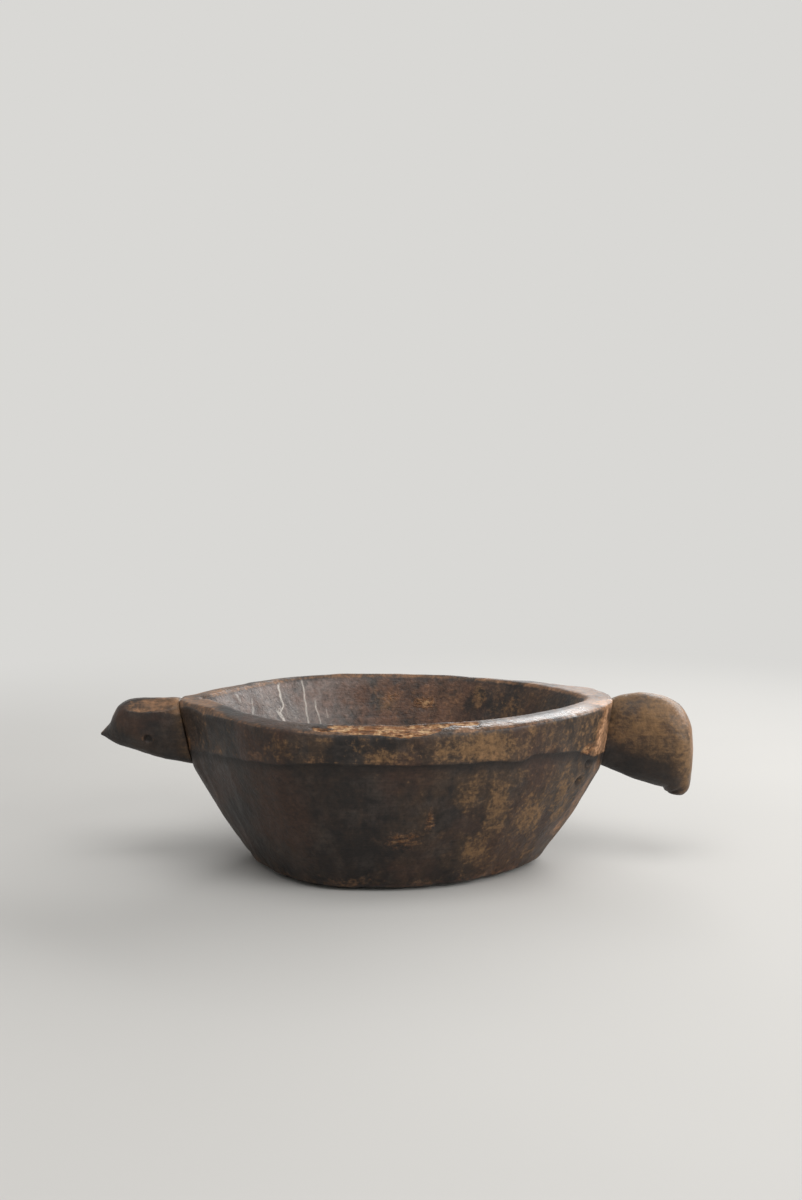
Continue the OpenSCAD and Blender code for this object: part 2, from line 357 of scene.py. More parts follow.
def bowl_skin():
    """Points of the bowl, the outline number of each row, and the weight of the four upright arrises."""
    named = bowl_rings()
    zone = np.concatenate([k + np.arange(n) / n for k, n in enumerate(ROWS)] + [[FLOOR_MIDDLE]])
    k = np.minimum(zone.astype(int), FLOOR_MIDDLE - 1)
    stack = np.stack(named)
    rings = lerp(stack[k], stack[k + 1], (zone - k)[:, None])
    far = even_shares(named[COLLAR_TOP], FAR_PLACES, lambda x: np.ones_like(x))
    near = even_shares(named[COLLAR_TOP], NEAR_PLACES, lambda x: 1 + 1.3 * span(x, -58, 50, 12))
    across = np.linspace(1, -1, END_PLACES + 2)[1:-1]
    skin = np.concatenate(
        [
            side_points(rings, far, 1),
            end_points(rings, 0, across),
            side_points(rings, near[::-1], -1),
            end_points(rings, 1, -across),
        ],
        axis=1,
    )
    count = skin.shape[1]
    corners = np.array([0, FAR_PLACES - 1, FAR_PLACES + END_PLACES, count - END_PLACES - 1])
    away = np.abs(np.arange(count)[:, None] - corners)
    arris = np.exp(-((np.minimum(away, count - away).min(1) / 3.0) ** 2))
    return skin, zone, arris


# Upright gouge cuts in the hollow: places of their edges along the mouth, on the far and the near side
FAR_GOUGES = (-133, -121, -112, -102, -85, -68, -57, -40, -22, -3, 19, 37, 61, 80, 98, 113, 129)
NEAR_GOUGES = (-133, -118, -104, -88, -65, -49, -27, -8, 14, 31, 50, 74, 91, 110, 129)
# Scratches down the far wall of the hollow, coloured as pale lines of painted highlight, as strength and
# places in x and z from the foot up
SCRATCH_GLINT_LINES = (
    (0.6, ((-110.3, 104.5), (-112.8, 109), (-115, 112.5))),
    (0.35, ((-101, 88), (-102.7, 98.5), (-103.6, 105))),
    (1.0, ((-80, 78), (-82, 86.5), (-84.4, 92), (-82.4, 96), (-84.8, 101), (-86.1, 107), (-86.9, 112))),
    (0.9, ((-82, 86.5), (-84.7, 90), (-87.5, 93.5))),
    (0.75, ((-64, 76), (-65.4, 85), (-67.8, 97), (-69.2, 105), (-70.7, 112))),
    (0.6, ((-55, 76), (-56.3, 82.5), (-59.1, 89), (-60.7, 95.5))),
    (0.3, ((-50.9, 83), (-52.5, 90))),
)
# Edges of the knife's facets round the collar
COLLAR_FACETS = (-149, -128, -112, -97, -75, -60, -38, -21, 1, 17, 40, 55, 76, 90, 108, 123, 149)

# Patches where the dark skin has worn off, as middle, reach and strength
BARE_PATCHES = (
    ((58, -102, 99), (34, 22, 14), 0.36),
    ((-6, -113, 95), (16, 14, 8), 0.24),
    ((24, -110, 97), (13, 12, 9), 0.14),
    ((45, -95, 66), (12, 18, 19), 0.26),
    ((63, -80, 56), (13, 22, 30), 0.3),
    ((52, -78, 28), (18, 20, 19), 0.28),
    ((86, -60, 50), (15, 24, 28), 0.3),
    ((108, -40, 60), (13, 24, 36), 0.3),
    ((-70, -100, 98), (24, 24, 9), 0.14),
    ((-8, 85, 96), (17, 14, 14), 0.34),
    ((60, 70, 102), (9, 20, 14), 0.32),
    ((-60, 100, 95), (20, 20, 12), 0.3),
    ((40, 96, 60), (22, 22, 26), 0.28),
    ((-30, 88, 40), (18, 22, 18), 0.28),
    ((90, 66, 92), (17, 28, 14), 0.3),
)
# Chips down to the raw wood, in the same way
CHIPS = (
    ((5, -93, 38), (19, 20, 11), 0.44),
    ((22, -95, 51), (5, 14, 13), 0.48),
    ((20, 86, 94), (13, 12, 8), 0.65),
    ((-4, 88, 98), (9, 12, 7), 0.4),
)
# Middles of the beetle holes, and of the piece split off the collar's foot
BEETLE_HOLES = ((121, -40, 63.5), (128, -37.5, 75))
SPLIT_CORNER = (128.5, -42, 85)
# How far the collar's foot wanders, climbs by the near right end and sags in the middle of the near side
FOOT_WANDER, FOOT_CLIMB, FOOT_SAG = 1.2, 5.5, 1.6
# Ends of the broken front of the rim along the scoop, and the length over which it is ragged at each end
BREAK_LEFT, BREAK_RIGHT, BREAK_FADE = -52, 56, 6
# How far the right arris lies from the shoulder, how far it is felt along the collar, and how proud it is
ARRIS_INSET, ARRIS_REACH, ARRIS_RISE = 9, 16, 2.0
# The facet that cuts off the rim's far left corner: its outward direction, and its distance from the middle
CORNER_FACET, CORNER_FLAT = (-0.747, 0.514, 0.423), 5
# How far the rim dips at its left end
END_DIP = 1.3
# Depths of the broad swell, and of the fine roughness of the walls and of the rim
SWELL, FINE_MARKS, RIM_MARKS = 0.9, 0.13, 0.3
# Depths of the tools' cuts on the outer wall, the collar, the hollow's wall and the floor
WALL_CUTS, COLLAR_CUTS, GOUGE_CUTS, FLOOR_CUTS = 0.75, 0.4, 0.35, 0.5
# Depths of the damage
NICKS, DENTS, BREAK_DEPTH, SPLIT_DEPTH, HOLE_DEPTH, CHIP_DEPTH = 0.9, 0.8, 1.0, 2.4, 2.2, 0.6


def scratches(skin):
    """Distance across to the nearest scratch, and how strong its painted highlight is there."""
    nearest, strength = np.full(skin.shape[:2], 99.0), np.zeros(skin.shape[:2])
    wobble = 0.5 * unevenness(skin, 3.5, 201)
    for strong, places in SCRATCH_GLINT_LINES:
        at_x, at_z = np.array(places, float).T
        across = skin[..., 0] + wobble - np.interp(skin[..., 2], at_z, at_x)
        here = strong * span(skin[..., 2], at_z[0] + 2, at_z[-1] - 1, 3) * ramp(np.abs(across), 2.6, 1.4)
        closer = (np.abs(across) < np.abs(nearest)) & (here > 0)
        nearest, strength = np.where(closer, across, nearest), np.where(closer, here, strength)
    return nearest, strength


def carve_bowl():
    skin, zone, arris = bowl_skin()
    shape = skin.shape[:2]
    arris = np.broadcast_to(arris, shape)
    side = np.sign(skin[len(skin) // 2, :, 1])[None, :]
    mouth_x = skin[zone.searchsorted(MOUTH_EDGE), :, 0][None, :]
    collar_x = skin[zone.searchsorted(COLLAR_TOP), :, 0][None, :]
    zone = np.broadcast_to(zone[:, None], shape)
    on_end = ramp(np.abs(collar_x), half_length - 9, half_length - 4)
    end_face = on_end * ramp(zone, WALL_TOP - 1.5, WALL_TOP) * ramp(zone, RIM_EDGE + 0.4, RIM_EDGE)
    near = np.broadcast_to(side < 0, shape)

    # The rim, the base's edge and the turn of the floor are rounded, and the crease stays crisp.
    round_along = 0.15 + 0.85 * (
        span(zone, COLLAR_TOP, MOUTH_EDGE, 0.6)
        + span(zone, BASE_FLAT, BASE_EDGE, 0.6)
        + span(zone, WALL_FOOT, FLOOR_EDGE, 0.8)
    )
    round_along = round_along * ramp(zone, 0, 0.5) * ramp(zone, FLOOR_MIDDLE, FLOOR_EDGE + 0.5)
    skin = soften(skin, round_along, 0.9 * arris, 14)
    below_collar = ramp(zone, CREASE, WALL_TOP - 1)
    skin = soften(skin, np.zeros(shape), arris * below_collar, 36)

    lower_wall = ramp(zone, BASE_EDGE - 0.2, BASE_EDGE + 0.6) * ramp(zone, CREASE, WALL_TOP + 0.3)
    collar = ramp(zone, CREASE + 0.6, COLLAR_FOOT + 0.1) * ramp(zone, RIM_EDGE, COLLAR_TOP)
    top = span(zone, COLLAR_TOP + 0.5, CROWN + 0.2, 0.6)
    hollow = ramp(zone, CROWN + 0.5, MOUTH_EDGE + 0.2)
    hollow_wall = hollow * ramp(zone, FLOOR_EDGE - 0.5, WALL_FOOT - 0.5)
    floor = ramp(zone, WALL_FOOT + 0.5, FLOOR_EDGE)
    base_edge = hump(zone, BASE_EDGE, 0.9)

    # The collar's foot wanders up and down, as cut by eye, and climbs towards the right on the near side.
    x = skin[..., 0]
    plan = skin * (1, 1, 0)
    foot = FOOT_WANDER * unevenness(plan, 26, 3) + 0.5 * unevenness(plan, 8, 4)
    foot = foot + near * (FOOT_CLIMB * ramp(x, 79, 90) * ramp(x, 135, 112) - FOOT_SAG * span(x, -25, 35, 25))
    at_foot = ramp(np.abs(zone - (CREASE + COLLAR_FOOT) / 2), 2.0, 0.4)
    skin[..., 2] += at_foot * foot * (1 - end_face)

    # Broad unevenness of a bowl shaped by eye, then the marks of the tools.
    normal = outward(skin)
    bearing = np.arctan2(skin[..., 1] / half_width, (skin[..., 0] - widest_x) / half_length)
    unrolled = np.stack([bearing * 0.82 * half_length, skin[..., 2]], axis=-1)
    depth = SWELL * rough(skin, 75, 11, 2) * (lower_wall + collar + 0.6 * hollow_wall + 0.5 * top)
    depth -= WALL_CUTS * tool_marks(unrolled, (25, 40), 21) * lower_wall
    facet_x = collar_x + 2.5 * unevenness(skin, (9, 9, 14), 31)
    depth -= COLLAR_CUTS * flutes(facet_x, COLLAR_FACETS) * collar
    gouge_x = mouth_x + 3.0 * unevenness(skin * (0.2, 0.2, 1), 22, 41) + 0.8 * unevenness(skin, 7, 42)
    cuts = np.where(near, flutes(gouge_x, NEAR_GOUGES), flutes(gouge_x, FAR_GOUGES))
    depth -= GOUGE_CUTS * cuts * hollow_wall
    depth -= FLOOR_CUTS * tool_marks(skin[..., :2], (30, 20), 51) * floor
    depth += FINE_MARKS * rough(skin, 5, 61, 2) * (lower_wall + collar + 0.4 * hollow_wall)
    depth += RIM_MARKS * rough(skin, 14, 65, 2) * top

    # The collar turns with an arris before each side meets the right shoulder.
    arris_x = half_length - ARRIS_INSET
    upper = ramp(zone, WALL_TOP - 2, CREASE) * ramp(zone, RIM_EDGE + 0.5, RIM_EDGE - 0.5)
    turn = np.interp(skin[..., 0], (arris_x - ARRIS_REACH, arris_x, half_length - 1), (0, 1, 0))
    depth += ARRIS_RISE * turn * upper

    # Nicks along the collar's foot, the base's edge and the rim.
    nicks = ramp(unevenness(skin, (9, 9, 30), 71), 0.45, 0.9)
    depth -= NICKS * nicks * ramp(np.abs(zone - COLLAR_FOOT), 0.9, 0.1) * (1 - end_face)
    depth -= ramp(rough(skin, (14, 14, 40), 75), 0.1, 0.9) * base_edge
    dents = ramp(rough(skin, (10, 10, 25), 78), 0.55, 1.1)
    depth -= DENTS * dents * (hump(zone, RIM_EDGE - 0.4, 1.0) + hump(zone, CROWN + 0.5, 0.8))

    # The front of the rim is broken and rough, down to raw fibres.
    ragged = rough(skin, (13, 6, 6), 81)
    lobes = rough(skin, (24, 14, 14), 83, 2)
    low_edge = RIM_EDGE + 0.5 * ramp(x, 16, 38) - 0.85 * hump(x, 8, 27)
    along = x + 5 * ragged
    full = ramp(along, BREAK_LEFT, -32) * ramp(along, BREAK_RIGHT, 22)
    high_edge = lerp(low_edge + 0.4, CROWN - 0.1, full) + 0.25 * lobes + 0.15 * ragged
    low_edge = low_edge - 0.28 * ragged
    broken = near * ramp(along, BREAK_LEFT, BREAK_LEFT + BREAK_FADE)
    broken = broken * ramp(along, BREAK_RIGHT, BREAK_RIGHT - BREAK_FADE)
    broken = broken * ramp(zone, low_edge - 0.1, low_edge + 0.1)
    broken = broken * ramp(zone, high_edge + 0.1, high_edge - 0.1)
    splinters = 1 - 2 * np.abs(unevenness(skin, (15, 2.4, 2.4), 85))
    crumbs = rough(skin, (6, 3, 3), 88, 2)
    depth -= broken * (BREAK_DEPTH + 0.55 * splinters + 0.6 * crumbs + 0.5 * hump(x, 8, 22))

    # A piece has split off the collar's foot by the right arris, and two beetle holes lie below it.
    split = 0.75 * patch(skin + 2.5 * unevenness(skin, 5, 91)[..., None], SPLIT_CORNER, (10, 15, 5))
    holes = sum(patch(skin, hole, (4, 5, 4.5)) for hole in BEETLE_HOLES)
    chips = patches(skin + 2.0 * unevenness(skin, 6, 95)[..., None], CHIPS)
    depth -= SPLIT_DEPTH * split + HOLE_DEPTH * holes + CHIP_DEPTH * chips

    # The faces that meet the heads and the middles of the base and the floor stay where they are.
    moving = 1 - end_face * (1 - 0.6 * arris)
    moving = moving * ramp(zone, 0.1, 1) * ramp(zone, FLOOR_MIDDLE, FLOOR_MIDDLE - 0.4)
    skin = skin + normal * (depth * moving)[..., None]
    skin[..., 2] = np.maximum(skin[..., 2], 0)

    # The rim's left end dips and its corners are pared off, to run on from the slopes of the left crown.
    dip = ramp(zone, COLLAR_FOOT, COLLAR_TOP) * ramp(zone, MOUTH_EDGE + 0.8, CROWN + 0.2)
    skin[..., 2] -= END_DIP * dip * ramp(skin[..., 0], -122, -146)
    pared = skin
    for across in (-1, 1):
        facing = np.multiply(CORNER_FACET, (1, across, 1))
        pared = pare(pared, facing, (-half_length, across * CORNER_FLAT, rim_z), 0.6)
    run_on = ramp(skin[..., 0] + 4 * lobes, -106, -124)
    bevel = run_on * ramp(np.linalg.norm(pared - skin, axis=-1) + 0.4 * ragged, 0.3, 1.5)
    skin = lerp(skin, pared, run_on[..., None])

    # How each place is worn, and where light and shade are painted into the colour.
    x = skin[..., 0]
    rim = 0.4 * span(zone, RIM_EDGE - 0.3, CROWN + 0.5, 0.5)
    rim = rim + 0.3 * hump(zone, RIM_EDGE - 0.2, 0.8) + 0.3 * hump(zone, CROWN + 0.4, 0.8)
    rim = rim + 0.25 * top * ramp(np.abs(x), 105, 130) - 0.3 * near * span(x, -108, -56, 16)
    rim = np.maximum(rim, 0) * (0.85 + 0.35 * rough(skin, (26, 26, 26), 99, 2))
    rubbed_and_lit = rim + 0.4 * base_edge + 0.3 * ramp(np.abs(zone - COLLAR_FOOT - 0.1), 0.5, 0.05)
    up_the_end = ramp(zone, BASE_EDGE, BASE_EDGE + 1) * ramp(zone, RIM_EDGE + 0.6, RIM_EDGE)
    above_foot = ramp(zone, CREASE, COLLAR_FOOT)
    corner = ramp(x - x.max(axis=1, keepdims=True), -15, -7) * ramp(np.abs(skin[..., 1]), 9, 15)
    corner = corner * (0.42 + 0.4 * above_foot + 0.15 * near) + 0.28 * arris * (0.3 + 0.7 * above_foot)
    rubbed_and_lit = rubbed_and_lit + corner * up_the_end * (0.8 + 0.8 * rough(skin, (8, 8, 15), 107)) + 0.45 * bevel
    # The near side's right corner and arris may rub right up to the palest colour: wear, and partly a painted
    # highlight from light on the right.
    most = 0.62 + 0.38 * near * above_foot * ramp(corner, 0.4, 0.8)
    rubbed_and_lit = np.clip(np.minimum(rubbed_and_lit, most) + 0.12 * rough(skin, 9, 101), 0, 1)
    polish = near * span(x, 20, 120, 14) * span(zone, RIM_EDGE - 0.5, RIM_EDGE + 0.4, 0.35)
    # Wear, paler towards the right on the near side and on the near lower wall's right part: partly painted
    # light from the right.
    worn = 0.1 + 0.16 * collar + 0.14 * (lower_wall + collar) * np.where(near, ramp(x, -60, 60), 0.5)
    worn = worn + 0.12 * lower_wall * near * ramp(x, 25, 60)
    worn = worn + 0.22 * hollow_wall * ramp(x, -55, -10) + patches(skin, BARE_PATCHES)
    worn = np.clip(worn + 0.08 * rough(skin, (20, 20, 40), 103, 2), 0, 1)
    # Painted shade in the crease under the collar, round the floor's turn, in the beetle holes, on the end
    # faces behind the heads and over the downward-facing lower wall, lighter on its near right part.
    painted_shade = ramp(zone, CREASE - 0.6, CREASE) * ramp(zone, COLLAR_FOOT, CREASE + 0.3)
    painted_shade = painted_shade + 0.6 * hump(zone, WALL_FOOT + 1, 1.6) + holes + 0.5 * end_face * (1 - arris)
    painted_shade = painted_shade + 0.28 * lower_wall * (1 - 0.6 * near * ramp(x, 20, 90))
    # Painted highlights along the scratches on the far wall of the hollow.
    scratch, strength = scratches(skin)
    return make_skin(
        "carved_bowl",
        skin,
        {
            "rubbed_and_lit": rubbed_and_lit,
            "polish": polish,
            "raw": np.clip(broken + split + chips, 0, 1),
            "worn": worn,
            "painted_shade": np.clip(painted_shade, 0, 1),
            "hollow": hollow,
            "scratch": scratch,
            "pale": strength * hollow_wall * ~near,
        },
    )


# Heads

# Rows of points from one station to the next, and points round a row
HEAD_STEPS = 17
HEAD_SIDES = 168
# The left head's eye: how far it lies beyond the shoulder and below the rim, its radius and its depth
EYE_REACH, EYE_DROP, EYE_RADIUS, EYE_DEPTH = 20, 27, 2.5, 1.9
# How far the left crown is rounded down where it meets the bowl
ROOT_ROUND = 1.3
# Place along the right head's stations of the notch under its beak, and its depth
NOTCH_PLACE, NOTCH_DEPTH = 7.6, 1.6


def root_station(top, foot, half):
    return (-top * shoulder_slope, top, -foot * shoulder_slope, foot, half)


def left_stations():
    """Back and throat of the left head, each as reach beyond the shoulder and depth below the rim, and
    its half-width."""
    crown, brow, beak, foot, half = 0.6, 1.8, 27.0, shoulder_depth - shoulder_set, 17.0
    reach = left_reach / 0.99
    shares = (
        (0.16, crown, 0.14, 0.86, 0.9),
        (0.4, crown, 0.38, 0.7, 1),
        (0.6, brow, 0.58, 0.5, 0.94),
        (0.74, 0.2 * beak, 0.74, 0.36, 0.76),
        (0.82, 0.43 * beak, 0.85, 0.22, 0.52),
        (0.87, 0.67 * beak, 0.93, 0.1, 0.3),
        (0.99, beak - 1.6, 0.985, 0.03, 0.09),
    )
    free = [(b * reach, d, t * reach, lerp(beak, foot, s), w * half) for b, d, t, s, w in shares]
    return np.array([root_station(crown, foot, shoulder_half_width - shoulder_set)] + free)


def right_stations():
    """Back and throat of the right head, in the same way."""
    rise, beak, throat, half = 2.2, 68.5, 62.0, 22.0
    shares = (
        (0.16, 0.02, 0.07, 0.85 * throat, 0.68),
        (0.39, 0, 0.3, 0.935 * throat, 0.83),
        (0.64, 0.03, 0.5, 0.985 * throat, 0.95),
        (0.84, 0.13, 0.61, lerp(throat, beak, 0.1), 1),
        (0.96, 0.285, 0.65, lerp(throat, beak, 0.2), 0.98),
        (1, 0.51, 0.66, lerp(throat, beak, 0.35), 0.89),
        (0.99, 0.74, 0.675, lerp(throat, beak, 0.6), 0.77),
        (0.97, 0.9, 0.705, lerp(throat, beak, 0.85), 0.63),
        (0.91, 0.975, 0.78, lerp(throat, beak, 0.97), 0.42),
    )
    reach = right_reach
    free = [(b * reach, lerp(-rise, beak, d), t * reach, s, w * half) for b, d, t, s, w in shares]
    return np.array([root_station(2, shoulder_depth - shoulder_set, 12)] + free)


def through(stations):
    """A smooth curve through the stations, and how far along them each row lies."""
    p = np.vstack([stations[:1], stations, stations[-1:]])
    a, b, c, d = (p[k : len(p) - 3 + k, None] for k in range(4))
    t = (np.arange(HEAD_STEPS) / HEAD_STEPS)[None, :, None]
    curve = b + 0.5 * t * (c - a + t * (2 * a - 5 * b + 4 * c - d + t * (3 * (b - c) + d - a)))
    rows = np.vstack([curve.reshape(-1, stations.shape[1]), stations[-1:]])
    return rows, np.arange(len(rows)) / HEAD_STEPS


def head_skin(stations, end, back_powers, throat_power):
    """Rows of points across a head. The powers give its cross-section: 1 is an ellipse, less is squarer."""
    rows, zone = through(stations)
    angle = np.linspace(0, 2 * math.pi, HEAD_SIDES, endpoint=False)
    c, s = np.cos(angle)[None, :], np.sin(angle)[None, :]
    power = np.where(s > 0, np.interp(zone, *back_powers)[:, None], throat_power)
    up = 0.5 + 0.5 * np.sign(s) * np.abs(s) ** power
    out = np.sign(c) * np.abs(c) ** power
    x = end * (half_length + lerp(rows[:, 2:3], rows[:, 0:1], up))
    y = end * rows[:, 4:5] * out
    z = rim_z - lerp(rows[:, 3:4], rows[:, 1:2], up)
    return np.stack([x, y, z], axis=-1), np.broadcast_to(zone[:, None], x.shape), up


def head_marks(rubbed_and_lit, polish, worn, painted_shade):
    """The wear, painted light and painted shade of a head, which has no hollow and no raw break."""
    none = np.zeros_like(rubbed_and_lit)
    marks = {"rubbed_and_lit": np.minimum(rubbed_and_lit, 0.75), "polish": polish, "worn": worn, "painted_shade": painted_shade}
    marks = {name: np.clip(values, 0, 1) for name, values in marks.items()}
    return {**marks, "raw": none, "hollow": none, "scratch": none + 9, "pale": none}


def carve_left_head():
    """Flat crown that slopes to both sides, steep face, and a beak with a ridge along its top."""
    skin, zone, up = head_skin(left_stations(), -1, ((0, 1, 3, 4.5, 7), (0.7, 0.5, 0.5, 0.8, 1.15)), 0.86)
    free = ramp(zone, 0.1, 0.9)
    cut = skin
    for side in (-1, 1):
        cut = pare(cut, (0, side * 0.5, 0.87), (0, side * 2.5, rim_z - 0.6), 0.5)
    facet = ramp(np.linalg.norm(cut - skin, axis=-1) + 0.4 * rough(skin, 7, 109), 0.2, 1.3)
    facet = facet * ramp(zone, 4.2, 2.8)
    for side in (-1, 1):
        cut = pare(cut, (-0.35, side * 0.8, -0.48), (-186, side * 13.5, rim_z - 26), 1.5)
    skin = lerp(skin, cut, free[..., None])
    depth = 0.45 * rough(skin, 24, 111, 2) - 0.4 * tool_marks(skin, (16, 12, 12), 115)
    depth += 0.12 * rough(skin, 5, 118, 2)
    to_eye = np.hypot(skin[..., 0] + half_length + EYE_REACH, skin[..., 2] - rim_z + EYE_DROP)
    to_eye = np.where(np.abs(skin[..., 1]) > 6, to_eye, 99)
    eye = ramp(to_eye, EYE_RADIUS + 0.4, EYE_RADIUS - 0.4)
    brim = hump(to_eye, EYE_RADIUS + 1.2, 1.3)
    depth = depth * (1 - eye) - EYE_DEPTH * eye + 0.3 * brim
    skin = skin + outward(skin) * (depth * free)[..., None]
    skin[..., 2] -= ROOT_ROUND * ramp(zone, 0.7, 0) * ramp(up, 0.75, 0.95)

    beak = ramp(zone, 4.5, 6.5)
    # The crown facet, beak ridge and eye's rim are paler: wear, and partly painted light on the top and a
    # painted glint round the eye.
    top = np.maximum(facet, ramp(up, 0.72, 0.84) * ramp(zone, 2.2, 1.2))
    rubbed_and_lit = 0.62 * top + 0.4 * ramp(zone, 3.2, 5.2) * ramp(up, 0.82, 1) + 0.35 * beak * ramp(up, 0.35, 0.8)
    rubbed_and_lit = rubbed_and_lit + 0.35 * brim + 0.25 * rough(skin, 8, 121)
    worn = 0.14 + 0.25 * top + 0.25 * ramp(zone, 1.0, 0.1) + 0.08 * rough(skin, (16, 16, 22), 125)
    # Painted shade where the head meets the bowl, in the eye and under the head.
    painted_shade = 0.5 * ramp(zone, 0.25, 0) + eye + 0.4 * ramp(up, 0.35, 0)
    return make_skin("carved_left_head", skin, head_marks(rubbed_and_lit, 0.3 * top, worn, painted_shade))


def carve_right_head():
    """Round crown that bows down into a short beak, with a notch under its tip."""
    skin, zone, up = head_skin(right_stations(), 1, ((0, 9), (0.9, 0.9)), 0.9)
    free = ramp(zone, 0.1, 0.9)
    depth = 0.55 * rough(skin, 26, 131, 2) - 0.35 * tool_marks(skin, (15, 14, 15), 135)
    depth += 0.1 * rough(skin, 5, 138, 2)
    depth -= NOTCH_DEPTH * hump(zone, NOTCH_PLACE, 0.7) * ramp(up, 0.55, 0.2)
    skin = skin + outward(skin) * (depth * free)[..., None]

    # The crown and upper side are paler: wear, and partly painted light from above.
    crown = ramp(up, 0.6, 0.95) * ramp(zone, 1.5, 4.0)
    rubbed_and_lit = 0.3 * crown + 0.2 * ramp(up, 0.75, 0.98) + 0.2 * rough(skin, (22, 14, 16), 141)
    worn = 0.2 + 0.32 * ramp(up, 0.2, 0.75) + 0.25 * rough(skin, (30, 18, 22), 147)
    # Painted shade under the head and the beak, at the root and in the notch.
    under = ramp(up, 0.7, 0.15) * ramp(zone, 7.5, 2.5)
    painted_shade = 0.5 * ramp(zone, 0.3, 0) + 0.6 * under + 0.25 * ramp(up, 0.4, 0.05)
    painted_shade = painted_shade + 0.4 * hump(zone, NOTCH_PLACE, 0.5)
    return make_skin("carved_right_head", skin, head_marks(rubbed_and_lit, 0.7 * crown, worn, painted_shade))


# Finishes

class Tone:
    """A socket of a finish. Sums on tones add Math nodes."""

    def __init__(self, nodes, socket):
        self.nodes = nodes
        self.socket = socket

    def __add__(self, other):
        return self.nodes.math("ADD", self, other)

    __radd__ = __add__

    def __sub__(self, other):
        return self.nodes.math("SUBTRACT", self, other)

    def __rsub__(self, other):
        return self.nodes.math("SUBTRACT", other, self)

    def __mul__(self, other):
        return self.nodes.math("MULTIPLY", self, other)

    __rmul__ = __mul__


class Nodes:
    """The nodes of one finish, or of the air around the scoop."""

    def __init__(self, owner):
        owner.use_nodes = True
        self.owner = owner
        self.tree = owner.node_tree
        self.tree.nodes.clear()

    def node(self, kind, settings=None, sockets=None, out=0):
        """Adds a node: its settings first, then the value or link of each socket. Gives one output."""
        node = self.tree.nodes.new("ShaderNode" + kind)
        for name, value in (settings or {}).items():
            setattr(node, name, value)
        for name, value in (sockets or {}).items():
            if isinstance(value, Tone):
                self.tree.links.new(value.socket, node.inputs[name])
            else:
                node.inputs[name].default_value = value
        return Tone(self, node.outputs[out]) if node.outputs else None

    def math(self, operation, *values):
        return self.node("Math", {"operation": operation}, dict(enumerate(values)))

    def mark(self, name):
        """A wear value of the carved mesh."""
        return self.node("Attribute", {"attribute_name": name}, out="Fac")

    def stretched(self, vector, scale):
        return self.node("VectorMath", {"operation": "MULTIPLY"}, {0: vector, 1: scale})

    def noise(self, vector, scale=1.0, detail=3.0, roughness=0.55, distortion=0.0):
        sockets = {"Vector": vector, "Scale": scale, "Detail": detail}
        return self.node("TexNoise", {}, {**sockets, "Roughness": roughness, "Distortion": distortion})

    def between(self, value, low, high):
        """0 at low and 1 at high, with a smooth change."""
        sockets = {"Value": value, "From Min": low, "From Max": high}
        return self.node("MapRange", {"interpolation_type": "SMOOTHSTEP"}, sockets)

    def mix(self, share, one, other, blend="MIX"):
        settings = {"data_type": "RGBA", "blend_type": blend}
        return self.node("Mix", settings, {0: share, 6: one, 7: other}, out=2)

    def bump(self, height, strength, distance):
        return self.node("Bump", {}, {"Strength": strength, "Distance": distance, "Height": height})

    def surface(self, colour, roughness, normal, specular):
        sockets = {"Base Color": colour, "Roughness": roughness, "Normal": normal}
        return self.node("BsdfPrincipled", {}, {**sockets, "Specular IOR Level": specular})

    def seen(self):
        """1 where the camera looks, straight or in a gloss, and 0 for light that falls on the scoop."""
        straight, gloss, through = (
            self.node("LightPath", out="Is " + ray + " Ray") for ray in ("Camera", "Glossy", "Transmission")
        )
        return self.math("MAXIMUM", self.math("MAXIMUM", straight, gloss), through)

    def show(self, surface):
        self.node("OutputMaterial", {}, {"Surface": surface})
        return self.owner


def rgb(red, green, blue):
    """A colour as read off a screen, from 0 to 255, in Blender's own values."""
    screen = (v / 255 for v in (red, green, blue))
    return tuple(v / 12.92 if v <= 0.04 else ((v + 0.055) / 1.055) ** 2.4 for v in screen) + (1,)


# The wood's darkest tone, which is also the colour of the painted shade.
SOOT_AND_SHADE = rgb(28, 23, 21)
UMBER = rgb(54, 42, 34)
GREY_BROWN = rgb(72, 63, 57)
REDDISH = rgb(78, 51, 37)
DARK_OCHRE = rgb(88, 66, 45)
HOLLOW_BROWN = rgb(124, 87, 68)
OCHRE = rgb(136, 103, 67)
RUBBED_TAN = rgb(146, 107, 75)
# Palest wear, and a painted highlight on the near right arris.
PALE_WEAR_AND_HIGHLIGHT = rgb(190, 146, 112)
BREAK_SHADOW = rgb(94, 64, 42)
BREAK_BROWN = rgb(140, 96, 62)
RAW_WOOD = rgb(180, 147, 109)
# Grey of dust and of a painted sheen.
ASH_AND_SHEEN = rgb(130, 122, 117)
# Painted highlight of the scratches.
SCRATCH_GLINT = rgb(196, 188, 178)
PEG_DARK = rgb(104, 76, 48)
PEG_LIGHT = rgb(140, 104, 66)
PAPER_DARK = rgb(200, 198, 194)
PAPER_LIGHT = rgb(208, 206, 202)
BACKDROP = rgb(217, 216, 213)
# Strength and depth in metres of the old wood's fine relief, and the strength of its reflections
WOOD_BUMP = 0.75, 0.0009
WOOD_SHEEN = 0.38
# How strong the fine specks are on the bowl and on the heads
BOWL_MOTTLE, HEAD_MOTTLE = 1.0, 0.55


